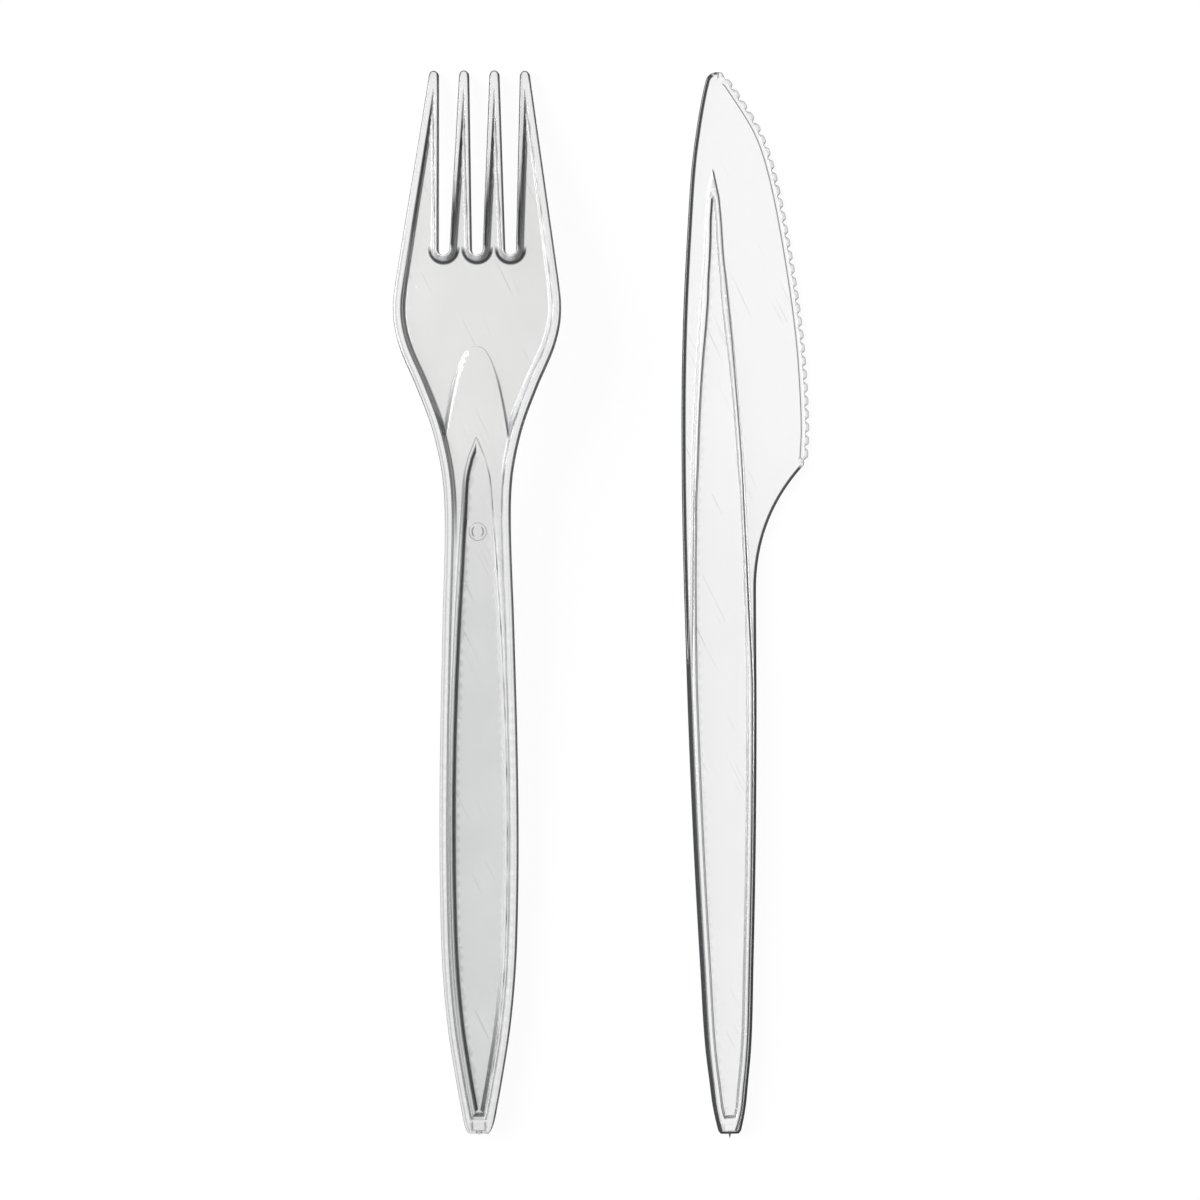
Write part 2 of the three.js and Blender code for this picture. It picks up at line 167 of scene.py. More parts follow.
# Ribs of the knife from the neck, their heights and slopes.
RIB_OUTER = [(-1, 4.6), (5.6, 4.45), (10.7, 4.3), (15.8, 4.15), (21, 4), (26, 3.75), (32.7, 3.33),
             (39.5, 2.9), (44.5, 2.57), (49.6, 2.15), (53, 1.85), (56, 1.55), (63, 1.2), (67, 0.9)]
RIB_INNER = [(-1, 4.05), (5.8, 3.93), (10.8, 3.77), (15.9, 3.65), (21, 3.3), (26, 3.05), (32.8, 2.63),
             (39.5, 2.05), (44.6, 1.5), (49.6, 1.05), (53, 0.9), (55.5, 0.7), (59.5, 0.45), (63, 0.35)]
RIB_POINT = 71.5
RIB_SLOPE = 0.3
FLANGE_OUTER = 0.85
FLANGE_WIDTH = 0.9
RIB_CHANNEL_START = 3.2
RIB_CHANNEL_TOP = 67
RIB_CHANNEL_SLOPE = 0.14
RIB_BLEND = 12
KNIFE_END_RIM = 3
KNIFE_RIM = 3.6
KNIFE_RIM_AT = 16
KNIFE_NECK_RIM = 3.3
RIB_RISE = 1.3
RIB_MIDDLE = 35
RIB_TIP_RISE = 0.15

# Roundness of the moulded corners, and how closely the surfaces are sampled.
EDGE_SOFT = 0.12
FILLET = 0.3
ALONG = 0.7
ACROSS = 1.1
NORMAL_STEP = 0.004

# How far inside each outline the mesh has a run of points, closer together where the surface turns.
RIM_RUNS = [0.5, 0.58, 0.66, 0.74, 0.82]
RECESS_RUNS = [-0.22, -0.1, 0, 0.1, 0.22, 0.38, 0.54, 0.7, 0.86, 1.05, 1.3]
CHANNEL_RUNS = [-0.22, -0.1, 0, 0.1, 0.22, 0.36, 0.5, 0.64, 0.8, 1]
TONGUE_RUNS = [0.14, 0.04, -0.03, -0.1, -0.2, -0.32, -0.46, -0.62, -0.85]
RIB_RUNS = [0.14, 0.05, -0.02, -0.1, -0.22, -0.36, -0.5, -0.64, -0.8]
RIB_CHANNEL_RUNS = [0.1, 0.03, -0.04, -0.1, -0.17, -0.24, -0.31, -0.38, -0.46]
BEVEL_RUNS = [0.95, 1.1, 1.25, 1.33, 1.4, 1.47, 1.55, 1.7]
BLADE_RUNS = [0.4, 0.5, 0.58, 0.66, 0.74, 0.85]

# The upright part of a surface's normal at which plastic starts to look like a wall, and is fully one, and
# the grey that is painted on walls as painted shade.
WALL_STARTS = 0.8
WALL_FULL = 0.5
WALL_SHADE_COLOUR = (0.55, 0.56, 0.57)
# The colour of the painted shade bands, how much clear plastic bends light, and the slant and size of
# scratches.
PAINTED_SHADE_COLOUR = (0.03, 0.032, 0.034)
POLYSTYRENE_IOR = 1.59
SCRATCH_TURN = 0.45
SCRATCH_SIZE = (0.0004, 0.02, 0.02)

# The table, in metres: its half width and the gap under the pieces.
TABLE_HALF = 1.5
TABLE_GAP = 0.00005
# How bright it is to the camera, through the plastic near and far, in reflections, and when lit.
TABLE_SEEN = 0.95
TABLE_NEAR = 0.92
TABLE_FAR = 0.15
TABLE_GLOSS = 0.1
TABLE_DIFFUSE = 0.06

# The camera looks straight down from this place, and its frame is this wide at the table, in metres.
CAMERA_PLACE = (-0.00053, 0.00076, 0.45)
FRAME_WIDTH = 0.2036
SENSOR = 36


def smooth_curve(stations, starts_level=False):
    """A smooth curve through (place, value) stations, held level past its ends."""
    places, values = np.array(stations, float).T
    slopes = np.diff(values) / np.diff(places)
    first = 0 if starts_level else slopes[0]
    leans = np.concatenate([[first], (slopes[1:] + slopes[:-1]) / 2, [slopes[-1]]])

    def at(place):
        place = np.clip(place, places[0], places[-1])
        left = np.clip(np.searchsorted(places, place, side="right") - 1, 0, len(slopes) - 1)
        gap = places[left + 1] - places[left]
        share = (place - places[left]) / gap
        rest = 1 - share
        return (
            (1 + 2 * share) * rest**2 * values[left] + share * rest**2 * gap * leans[left]
            + (3 - 2 * share) * share**2 * values[left + 1] - rest * share**2 * gap * leans[left + 1]
        )

    return at


def ahead(start, stations):
    return [(start + place, value) for place, value in stations]


def smoothstep(value, low, high):
    share = np.clip((value - low) / (high - low), 0, 1)
    return share * share * (3 - 2 * share)


def hinge(distance, soft=EDGE_SOFT):
    """Nothing on one side of an edge and the distance itself on the other, with a soft turn."""
    return (distance + np.sqrt(distance**2 + soft**2)) / 2


def higher(one, other, fillet=FILLET):
    """The higher of two surfaces, with a fillet where they meet."""
    return (one + other + np.sqrt((one - other) ** 2 + fillet**2)) / 2


def lower(one, other, fillet=FILLET):
    return -higher(-one, -other, fillet)


def spread(points, step, closed=False):
    """The same run of points with none further apart than the step."""
    points = np.array(points, float)
    ends = np.roll(points, -1, 0) if closed else points[1:]
    finer = []
    for start, end in zip(points, ends):
        count = max(1, math.ceil(np.hypot(*(end - start)) / step))
        finer += [start + (end - start) * share / count for share in range(count)]
    return np.array(finer if closed else finer + [points[-1]])


def outward(points, closed=True):
    """Outward direction at each corner of a counterclockwise run, longer at sharp corners, and as units."""
    if closed:
        before, after = np.roll(points, 1, 0), np.roll(points, -1, 0)
    else:
        before = np.vstack([points[:1], points[:-1]])
        after = np.vstack([points[1:], points[-1:]])
    into, out = points - before, after - points
    into, out = (np.column_stack([way[:, 1], -way[:, 0]]) for way in (into, out))
    if not closed:
        into[0], out[-1] = out[0], into[-1]
    into /= np.hypot(*into.T)[:, None]
    out /= np.hypot(*out.T)[:, None]
    middle = into + out
    middle /= np.maximum(np.hypot(*middle.T), 1e-9)[:, None]
    stretch = 1 / np.clip((middle * into).sum(1), 0.5, 1)
    return middle * stretch[:, None], middle


def arc(x, y, radius, first_turn, last_turn, count):
    turns = np.linspace(first_turn, last_turn, count) * 2 * math.pi
    return np.column_stack([x + radius * np.cos(turns), y + radius * np.sin(turns)])


def both_sides(half):
    """A closed outline from its right half, which runs from back to front."""
    left = half[half[:, 0] > 1e-6][::-1] * (-1, 1)
    return np.vstack([half, left])


def off_line(x, y, line):
    """How far places are from a run of points joined by straight lines, and if they are on its odd side."""
    start, way = line[:-1], np.diff(line, axis=0)
    length = (way**2).sum(1)
    high = np.where(way[:, 1] == 0, 1, way[:, 1])
    gap = np.empty(len(x))
    odd = np.empty(len(x), bool)
    for part in np.array_split(np.arange(len(x)), 1 + len(x) // 3000):
        from_x = x[part, None] - start[:, 0]
        from_y = y[part, None] - start[:, 1]
        share = np.clip((from_x * way[:, 0] + from_y * way[:, 1]) / length, 0, 1)
        gap[part] = np.hypot(from_x - share * way[:, 0], from_y - share * way[:, 1]).min(1)
        beside = (from_y < 0) != (from_y < way[:, 1])
        odd[part] = (beside & (from_x < from_y / high * way[:, 0])).sum(1) % 2 == 1
    return gap, odd


def inside_by(x, y, half):
    """How far places lie inside a symmetric outline, from its right half. Outside is negative."""
    gap, odd = off_line(np.abs(x), y, half)
    return np.where(odd, gap, -gap)


def inside_any(x, y, outline):
    """How far places lie inside a closed outline of any shape."""
    closed = np.vstack([outline, outline[:1]])
    shift = closed[:, 0].min() - 1
    return inside_by(x - shift, y, closed - (shift, 0))


def disc(x, y, place, radius, soft=0.08):
    return smoothstep(radius - np.hypot(x, y - place), -soft, soft)


def end_pad(x, y):
    """Depth of the sunk pad near the end of a handle."""
    out = np.maximum(np.abs(x) - PAD_WIDTH / 2, np.abs(y - PAD_MARGIN - PAD_LENGTH / 2) - PAD_LENGTH / 2)
    return PAD_DEPTH * smoothstep(-out, -0.05, 0.05)


# Shape of the fork
fork_side = smooth_curve(HANDLE_SIDE + ahead(NECK_AT, SHOULDER_SIDE))
fork_lift = smooth_curve(ahead(REST_LENGTH, HANDLE_RISE) + ahead(NECK_AT, HEAD_RISE) + [
    (SLOT_ROOT_AT, ROOT_RISE), (SLOT_ROOT_AT + TINE_LENGTH * TINE_BEND, TINE_RISE), (FORK_LENGTH, TIP_RISE),
], True)
fork_rim = smooth_curve([
    (0, END_RIM), (REST_LENGTH / 2, HANDLE_RIM), (NECK_AT - CHANNEL_RAMP * 2, HANDLE_RIM),
    (NECK_AT, NECK_RIM), (SHOULDER_AT, HEAD_RIM), (SLOT_ROOT_AT, ROOT_RIM), (FORK_LENGTH, TIP_RIM),
])
tongue_height = smooth_curve([
    (NECK_AT, NECK_RIM - SHELF_DEPTH), (NECK_AT + TONGUE_LENGTH / 2, (NECK_RIM + FORK_WEB) / 2),
    (NECK_AT + TONGUE_LENGTH, FORK_WEB + TONGUE_FADE),
], True)
channel_ramp = smooth_curve([
    (NECK_AT - CHANNEL_RAMP, FORK_WEB), (NECK_AT + CHANNEL_TOP, NECK_RIM - SHELF_DEPTH),
], True)


def side_run():
    """The side of the handle and shoulders, with closer points round the end of the handle."""
    round_end = np.concatenate([np.linspace(0, 0.4, 3), np.linspace(0.6, 4, 8)])
    places = np.concatenate([round_end, np.arange(4.6, HEAD_SIDE_END, ALONG), [HEAD_SIDE_END]])
    return np.column_stack([fork_side(places), places])


def up_the_tines(side, tip, wider):
    """Adds the tines and slots of the right half to a side run."""
    runs = [side]
    for tine in np.arange((TINE_COUNT - 1) / 2, 0, -1):
        runs.append(tip(tine * TINE_SPACING))
        slot = (tine - 0.5) * SLOT_SPACING
        last, count = (-0.5, 15) if slot > 0 else (-0.25, 8)
        runs.append(arc(slot, SLOT_ROOT_AT + SLOT_RADIUS, SLOT_RADIUS + wider, 0, last, count))
    return spread(np.vstack(runs), ALONG)


def fork_half():
    def round_tip(x):
        return arc(x, FORK_LENGTH - TINE_TIP_RADIUS, TINE_TIP_RADIUS, 0, 0.5, 17)

    return up_the_tines(np.vstack([[(0, 0)], side_run()]), round_tip, 0)


def recess_half():
    side = side_run()
    side = side - outward(side, False)[1] * RIM_WIDTH
    side = side[side[:, 1] > RECESS_START + 0.3]
    start = [(0, RECESS_START), (side[0, 0] - 0.1, RECESS_START)]
    return up_the_tines(np.vstack([start, side]), lambda x: [(x, FORK_LENGTH - TINE_SOLID)], SLOT_RIM)


def tongue_half():
    share = np.linspace(1, 0, 30)
    tip = NECK_AT + TONGUE_LENGTH
    arch = np.column_stack([share * TONGUE_WIDTH / 2, tip - TONGUE_DEPTH * share**TONGUE_BEND])
    return np.vstack([TONGUE_FOOT, arch])


def channel_half():
    band = smooth_curve(ahead(NECK_AT, CHANNEL_BAND))
    places = np.arange(CHANNEL_START, NECK_AT + CHANNEL_BAND[-1][0] + 0.1, ALONG)
    side = np.column_stack([fork_side(places) - band(places), places])
    return np.vstack([[(0, CHANNEL_START)], side, [(0, NECK_AT + CHANNEL_TOP)]])


def fork_plan():
    """Right halves of the fork's outline, its recess, its tongue and its channel."""
    return fork_half(), recess_half(), tongue_half(), channel_half()


def fork_face(x, y):
    """The eating face, which looks down."""
    fall = HEAD_DIP * smoothstep(y, NECK_AT, SHOULDER_AT)
    return np.where(y < REST_LENGTH, 0, fork_lift(y)) - fall * (x / SHOULDER_HALF) ** 2


def fork_shelf(x, y):
    ridge = TONGUE_RIDGE * smoothstep(y, NECK_AT, NECK_AT + TONGUE_LENGTH / 2)
    level = np.where(y < NECK_AT, fork_rim(y) - SHELF_DEPTH, tongue_height(y))
    return level + ridge * (smoothstep(-np.abs(x), -TONGUE_WIDTH / 2, 0) - 0.5)


def fork_top(recess, tongue, channel):
    ramp_start = NECK_AT - CHANNEL_RAMP

    def height(x, y):
        wall = fork_rim(y) - hinge(inside_by(x, y, recess)) / RECESS_SLOPE
        shelf = fork_shelf(x, y)
        eased = smoothstep(y, ramp_start - RAMP_EASE[0], ramp_start + RAMP_EASE[1])
        ramp = channel_ramp(y) - FORK_EDGE * (1 - eased)
        sunk = lower(hinge(inside_by(x, y, channel)) / CHANNEL_SLOPE, hinge(shelf - ramp, FILLET))
        shelf = shelf - sunk - hinge(-inside_by(x, y, tongue)) / TONGUE_SLOPE
        floor = higher(shelf, FORK_WEB) + PIN_HEIGHT * disc(x, y, NECK_AT - PIN_BEHIND_NECK, PIN_RADIUS)
        return fork_face(x, y) + higher(wall, floor) - end_pad(x, y)
    return height


# Shape of the knife
knife_handle = smooth_curve(KNIFE_SIDE)


def spline(points, count):
    """A smooth run through points, by their even passing."""
    points = np.array(points, float)
    places = np.arange(len(points))
    share = np.linspace(0, len(points) - 1, count)
    curves = [smooth_curve(np.column_stack([places, points[:, axis]])) for axis in (0, 1)]
    return np.column_stack([curve(share) for curve in curves])


def evenly(points, count):
    """Points at even lengths along a run."""
    along = np.concatenate([[0], np.cumsum(np.hypot(*np.diff(points, axis=0).T))])
    wanted = np.linspace(0, along[-1], count)
    return np.column_stack([np.interp(wanted, along, points[:, axis]) for axis in (0, 1)])


edge_line = evenly(spline(np.array(CUTTING_EDGE) + (0, KNIFE_NECK_AT), 800), TOOTH_COUNT * TOOTH_STEPS + 1)


def tooth_back(share):
    """How far the tooth line lies back from the tips, at a share of one tooth."""
    return TOOTH_DEPTH * (1 - smoothstep(share, 0, 0.3) + smoothstep(share, 0.7, 1))


def knife_outline():
    into = -outward(edge_line, False)[1]
    shares = (np.arange(len(edge_line)) % TOOTH_STEPS) / TOOTH_STEPS
    teeth = edge_line + into * tooth_back(shares)[:, None]
    round_end = np.concatenate([np.linspace(0, 0.4, 3), np.linspace(0.7, 4, 7)])
    places = np.concatenate([round_end, np.arange(4.7, KNIFE_NECK_AT, ALONG), [KNIFE_NECK_AT]])
    right = np.column_stack([knife_handle(places), places])
    share = np.linspace(0, 1, 26)[1:-1, None]
    bend = np.array(HEEL_BEND) + (0, KNIFE_NECK_AT)
    heel = right[-1] * (1 - share) ** 2 + bend * 2 * share * (1 - share) + edge_line[0] * share**2
    back = spline([(x, KNIFE_NECK_AT + y) for x, y in reversed(BLADE_BACK)], 160)
    outline = np.vstack([[(0, 0)], right, heel, teeth[:-1], back, right[::-1] * (-1, 1)])
    return spread(outline, ALONG, closed=True)


def rib_half(set_back, start, stations, point):
    """One side of the ribs or of their channel: beside the handle's edge, then by stations on the blade."""
    beside = np.arange(0, KNIFE_NECK_AT - RIB_BLEND, 4)
    handle = [(place, float(knife_handle(place)) - set_back) for place in beside]
    edge = smooth_curve(handle + ahead(KNIFE_NECK_AT, stations))
    places = np.arange(start, KNIFE_NECK_AT + stations[-1][0] + 0.1, ALONG)
    side = np.column_stack([edge(places), places])
    return spread(np.vstack([[(0, start)], side, [(0, KNIFE_NECK_AT + point)]]), ALONG)


def knife_plan():
    """The knife's outline, and right halves of its ribs and of the channel between them."""
    ribs = rib_half(FLANGE_OUTER, FLANGE_OUTER, RIB_OUTER, RIB_POINT)
    channel = rib_half(FLANGE_OUTER + FLANGE_WIDTH, RIB_CHANNEL_START, RIB_INNER, RIB_CHANNEL_TOP)
    return knife_outline(), ribs, channel


rib_height = smooth_curve([
    (0, KNIFE_END_RIM), (KNIFE_RIM_AT, KNIFE_RIM), (KNIFE_NECK_AT / 2, KNIFE_RIM),
    (KNIFE_NECK_AT, KNIFE_NECK_RIM), (KNIFE_NECK_AT + RIB_MIDDLE, PLATE_THICKNESS + RIB_RISE),
    (KNIFE_NECK_AT + RIB_POINT, PLATE_THICKNESS + RIB_TIP_RISE),
])


def teeth_gap(x, y):
    """How far places are from the line of the teeth's tips."""
    return off_line(x, y, edge_line)[0]


def bevel(x, y):
    """Height of the slope behind the teeth. It goes on rising past the plate's face."""
    return TOOTH_THICKNESS + (PLATE_THICKNESS - TOOTH_THICKNESS) * teeth_gap(x, y) / BEVEL_WIDTH


def knife_top(ribs, channel):
    def height(x, y):
        plate = lower(np.full(len(x), PLATE_THICKNESS), bevel(x, y), 0.1)
        outer = rib_height(y) - hinge(-inside_by(x, y, ribs)) / RIB_SLOPE
        inner = PLATE_THICKNESS - inside_by(x, y, channel) / RIB_CHANNEL_SLOPE
        return higher(plate, lower(outer, inner)) - end_pad(x, y)
    return height


# Meshes
def guides(half, distances, keep):
    """Runs beside an outline at set distances inside it, as points and the edges between neighbours."""
    whole = both_sides(half)
    way = outward(whole)[0]
    points, edges = [], []
    for distance in distances:
        run = whole - way * distance
        kept = keep(run)
        number = np.cumsum(kept) - 1 + sum(len(made) for made in points)
        follows = np.roll(kept, -1) & kept
        after = np.roll(number, -1)
        edges.append(np.column_stack([number[follows], after[follows]]))
        points.append(run[kept])
    return np.vstack(points), np.vstack(edges)


def joined_runs(runs):
    """All points of several runs, and their edges numbered to match."""
    points, edges, count = [], [], 0
    for run_points, run_edges in runs:
        points.append(run_points)
        edges.append(run_edges + count)
        count += len(run_points)
    return np.vstack(points), np.vstack(edges)


def patch(x, y, half_width, half_length, step):
    """A fine grid of points round a small mark."""
    xs = np.arange(x - half_width, x + half_width + step / 2, step)
    ys = np.arange(y - half_length, y + half_length + step / 2, step)
    return np.array([(a, b) for a in xs for b in ys])


def pad_patch():
    return patch(0, PAD_MARGIN + PAD_LENGTH / 2, PAD_WIDTH / 2 + 0.2, PAD_LENGTH / 2 + 0.2, 0.1)


def lattice(low, high, step):
    """Staggered points over a box."""
    rows = np.arange(low[1], high[1], step * 0.87)
    return np.array([(x + (row % 2) * step / 2, y) for row, y in enumerate(rows)
                     for x in np.arange(low[0], high[0], step)])


def skin(loop, points, edges):
    """Triangles over a closed loop of points, through more points and edges inside it."""
    count = len(loop)
    coords = [tuple(p) for p in np.vstack([loop, points])]
    lines = [(i, (i + 1) % count) for i in range(count)]
    lines += [(int(a) + count, int(b) + count) for a, b in edges]
    found, _, faces, origins, _, _ = delaunay_2d_cdt(coords, lines, [], 1, 1e-4)
    on_loop = [next((i for i in origin if i < count), -1) for origin in origins]
    return np.array([tuple(p) for p in found], float), faces, on_loop


def slope_normals(height, points, upward):
    x, y = points.T
    here = height(x, y)
    along_x = (height(x + NORMAL_STEP, y) - here) / NORMAL_STEP
    along_y = (height(x, y + NORMAL_STEP) - here) / NORMAL_STEP
    normals = np.column_stack([-along_x, -along_y, np.ones(len(x))])
    normals /= np.linalg.norm(normals, axis=1)[:, None]
    return here, normals if upward else -normals


class Moulding:
    """A mesh that grows by rings, then by its two faces."""

    def __init__(self):
        self.points, self.normals, self.faces, self.count = [], [], [], 0

    def add(self, points, normals):
        self.points.append(points)
        self.normals.append(normals)
        self.count += len(points)
        return self.count - len(points)

    def cover(self, height, loop, first, points, edges, upward):
        """Adds a face over the ring that starts at first."""
        found, faces, on_loop = skin(loop, points, edges)
        levels, normals = slope_normals(height, found, upward)
        fresh = [i for i, ring in enumerate(on_loop) if ring < 0]
        start = self.add(np.column_stack([found[fresh], levels[fresh]]), normals[fresh])
        index = {i: start + n for n, i in enumerate(fresh)}
        index.update({i: first + ring for i, ring in enumerate(on_loop) if ring >= 0})
        for face in faces:
            corners = [index[i] for i in face]
            self.faces.append(corners if upward else corners[::-1])


def build(outline, top, bottom, draft, low_edge, top_edge, low_points, top_points, top_edges):
    """A closed mesh between two height functions over an outline, with rounded edges between them."""
    made = Moulding()
    away, flat = outward(outline)
    out = np.column_stack([flat, np.zeros(len(flat))])
    low_loop = outline - away * low_edge
    top_inset = draft + top_edge
    top_loop = outline - away * (top_inset[:, None] if np.ndim(top_inset) else top_inset)
    low, low_normals = slope_normals(bottom, low_loop, False)
    high, top_normals = slope_normals(top, top_loop, True)
    rings = []
    for turn in np.linspace(0, math.pi / 2, 4):
        up, over = math.sin(turn), math.cos(turn)
        inset = low_edge * (1 - up)
        rings.append((inset, low + low_edge * (1 - over), low_normals * over + out * up))
    for turn in np.linspace(0, math.pi / 2, 5):
        up, over = math.sin(turn), math.cos(turn)
        inset = draft + top_edge * (1 - over)
        rings.append((inset, high - top_edge * (1 - up), top_normals * up + out * over))
    starts = []
    for inset, level, normals in rings:
        plan = outline - away * (inset[:, None] if np.ndim(inset) else inset)
        starts.append(made.add(np.column_stack([plan, level]), normals))
    count = len(outline)
    for below, above in zip(starts, starts[1:]):
        for i in range(count):
            after = (i + 1) % count
            made.faces.append((below + i, below + after, above + after, above + i))
    made.cover(top, top_loop, starts[-1], top_points, top_edges, True)
    made.cover(bottom, low_loop, starts[0], low_points, np.empty((0, 2), int), False)
    return made


def stub(made, radius, length):
    """The torn stub behind the end of a handle, a cone rooted inside it."""
    sides = 14
    turns = np.arange(sides) * 2 * math.pi / sides
    heights = STUB_HEIGHT + radius * np.sin(turns)
    ring = np.column_stack([radius * np.cos(turns), np.full(sides, STUB_ROOT), heights])
    normals = np.column_stack([np.cos(turns), np.zeros(sides), np.sin(turns)])
    first = made.add(np.vstack([ring, [(0, -length, STUB_HEIGHT)]]), np.vstack([normals, [(0, -1, 0)]]))
    made.faces += [(first + i, first + (i + 1) % sides, first + sides) for i in range(sides)]
    made.faces.append([first + i for i in reversed(range(sides))])


def piece(name, made, x, y, lean, material, marks):
    """A named object from a moulding, moved to its place in the row frame, in metres, with its marks."""
    turn = np.array([[math.cos(lean), math.sin(lean), 0], [-math.sin(lean), math.cos(lean), 0], [0, 0, 1]])
    points = (np.vstack(made.points) @ turn + (x, y, 0)) * MM
    normals = np.vstack(made.normals) @ turn
    normals /= np.linalg.norm(normals, axis=1)[:, None]
    mesh = bpy.data.meshes.new(name)
    mesh.from_pydata(points.tolist(), [], [list(map(int, face)) for face in made.faces])
    mesh.shade_smooth()
    mesh.normals_split_custom_set_from_vertices(normals.tolist())
    for mark, values in marks(*np.vstack(made.points).T).items():
        mesh.attributes.new(mark, "FLOAT", "POINT").data.foreach_set("value", values)
    mesh.materials.append(material)
    made_object = bpy.data.objects.new(name, mesh)
    bpy.context.scene.collection.objects.link(made_object)
    return made_object


def fork_moulding():
    half, recess, tongue, channel = fork_plan()
    outline = both_sides(half)
    top = fork_top(recess, tongue, channel)
    rim_inset = OUTER_DRAFT + FORK_EDGE

    def well_inside(margin):
        return lambda run: inside_by(run[:, 0], run[:, 1], half) > rim_inset + margin

    close = well_inside(0.02)

    def in_recess(run):
        return close(run) & (inside_by(run[:, 0], run[:, 1], recess) > 0.1)

    def on_rim(run):
        return close(run) & (inside_by(run[:, 0], run[:, 1], recess) < -0.25)

    runs = [
        guides(half, RIM_RUNS, on_rim),
        guides(recess, RECESS_RUNS, close),
        guides(spread(channel, ALONG), CHANNEL_RUNS, in_recess),
        guides(spread(tongue[len(TONGUE_FOOT):], ALONG), TONGUE_RUNS, in_recess),
    ]
    points, edges = joined_runs(runs)
    grid = lattice((-15, 0), (15, FORK_LENGTH), ACROSS)
    pin = patch(0, NECK_AT - PIN_BEHIND_NECK, PIN_RADIUS + 0.3, PIN_RADIUS + 0.3, 0.12)
    pad = pad_patch()
    points = np.vstack([points, grid[well_inside(0.1)(grid)], pin, pad[close(pad)]])
    low_points = grid[well_inside(0.3)(grid)]
    made = build(outline, top, fork_face, OUTER_DRAFT, FORK_EDGE, FORK_EDGE, low_points, points, edges)
    stub(made, *FORK_STUB)
    return made


def band(value, low, high, soft=0.07):
    """One between two values and nothing past them."""
    return smoothstep(value, low - soft, low + soft) * smoothstep(-value, -high - soft, -high + soft)


def darkest(bands):
    """The darkest of several bands, each a darkness, a distance, and where along it the band lies."""
    return np.max([darkness * band(distance, *place) for darkness, distance, *place in bands], 0)


def sides(field, x, y):
    """A distance inside an outline, and how much its edge there is a left one or a right one."""
    here = field(x, y)
    lean = (field(x + 0.05, y) - here) / 0.05
    return here, smoothstep(lean, 0.1, 0.6), smoothstep(-lean, 0.1, 0.6)


def patchy(y):
    """Unevenness along a line that comes and goes."""
    return 0.65 + 0.35 * np.sin(y * 0.9) * np.sin(y * 0.37 + 1)


def slot_painted_shade(x, y):
    """Painted shade under the root of each slot and up its right side, and a painted light crescent
    between.
    """
    smoke, painted_light_crescent = np.zeros(len(x)), np.zeros(len(x))
    for slot in (-SLOT_SPACING, 0, SLOT_SPACING):
        beside, past = x - slot, y - SLOT_ROOT_AT - SLOT_RADIUS
        ring = np.hypot(beside, np.minimum(past, 0)) - SLOT_RADIUS
        below = band(ring, 1.05, 1.75) * smoothstep(-past, -0.6, 0.3)
        right = band(ring, 0.3, 0.95) * (past >= 0) * (beside > 0) * (1 - 0.7 * smoothstep(past, 6, 17))
        smoke = np.maximum(smoke, np.maximum(below, right))
        painted_light_crescent = np.maximum(painted_light_crescent, band(ring, 0.2, 0.95) * smoothstep(-past, -0.6, 0.3))
    return smoke, painted_light_crescent


